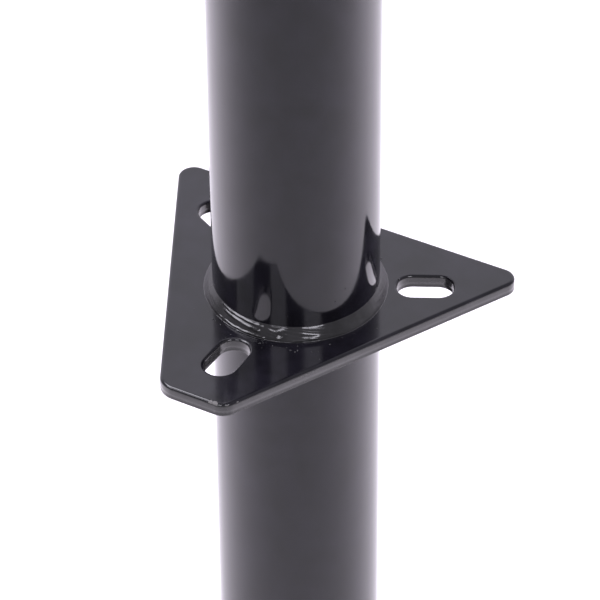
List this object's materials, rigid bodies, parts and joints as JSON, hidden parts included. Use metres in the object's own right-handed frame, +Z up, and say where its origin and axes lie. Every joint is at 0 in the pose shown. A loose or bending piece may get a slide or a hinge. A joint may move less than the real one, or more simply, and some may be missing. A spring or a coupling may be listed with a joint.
{
  "type": "tongue jack with flange mount",
  "caption": "Top-wind screw jack: round outer tube through a welded triangular slotted flange, crank on top, ram with a pinned foot plate below.",
  "frame": {"origin": "on the outer tube's axis at the underside of the mounting flange", "axes": "+Z up along the tube towards the crank, +X through the flange's sharp corner and first slot, +Y along the crank arm at rest"},
  "size_m": [0.1379, 0.2435, 0.6279],
  "materials": {
    "black_coat": "gloss black stoved enamel over welded steel",
    "zinc_plate": "bright zinc plate",
    "machined_steel": "turned and greased",
    "bronze": "sintered bronze, oiled",
    "black_plastic": "moulded, semi-gloss"
  },
  "bodies": {
    "tube": {"outer_tube": "black_coat", "mounting_flange": "black_coat", "flange_weld": "black_coat", "bearing_block": "machined_steel", "upper_race": "machined_steel", "shank_bush": "bronze", "dust_cap": "black_coat", "cap_screws": "zinc_plate", "grease_fitting": "zinc_plate", "guide_key": "black_coat"},
    "screw": {"drive_screw": "machined_steel", "thrust_collar": "machined_steel", "collar_pin": "zinc_plate", "lower_race": "machined_steel", "stop_washer": "zinc_plate", "stop_nut": "zinc_plate", "hub_washer": "zinc_plate", "crank_hub": "black_coat", "hub_pin": "zinc_plate", "crank_arm": "black_coat", "arm_weld": "black_coat", "grip_spindle": "zinc_plate", "grip_washer": "zinc_plate", "grip_end_cap": "black_plastic"},
    "grip": {"crank_grip": "black_plastic"},
    "ball_ring": {"ball_cage": "bronze", "bearing_balls": "machined_steel"},
    "ram": {"ram_tube": "zinc_plate", "lift_nut": "bronze", "foot_socket": "zinc_plate", "foot_plate": "zinc_plate", "foot_weld": "zinc_plate", "foot_pin": "zinc_plate", "hairpin_clip": "zinc_plate"}
  },
  "joints": [
    {"name": "crank_turn", "type": "hinge", "parent": "tube", "child": "screw", "pos_m": [0, 0, 0.22], "axis": [0, 0, -1], "range_deg": [0, 25200]},
    {"name": "ram_slide", "type": "slide", "parent": "tube", "child": "ram", "axis": [0, 0, -1], "range_m": [0, 0.3556]},
    {"name": "ball_ring_turn", "type": "hinge", "parent": "tube", "child": "ball_ring", "pos_m": [0, 0, 0.2134], "axis": [0, 0, -1], "range_deg": [0, 12600]},
    {"name": "grip_spin", "type": "hinge", "parent": "screw", "child": "grip", "pos_m": [0, 0.165, 0.3], "axis": [0, 0, 1], "continuous": true}
  ],
  "couplings": [
    {"joint": "ram_slide", "follows": "crank_turn", "m_per_rad": 0.0008085},
    {"joint": "ball_ring_turn", "follows": "crank_turn", "ratio": 0.5}
  ]
}
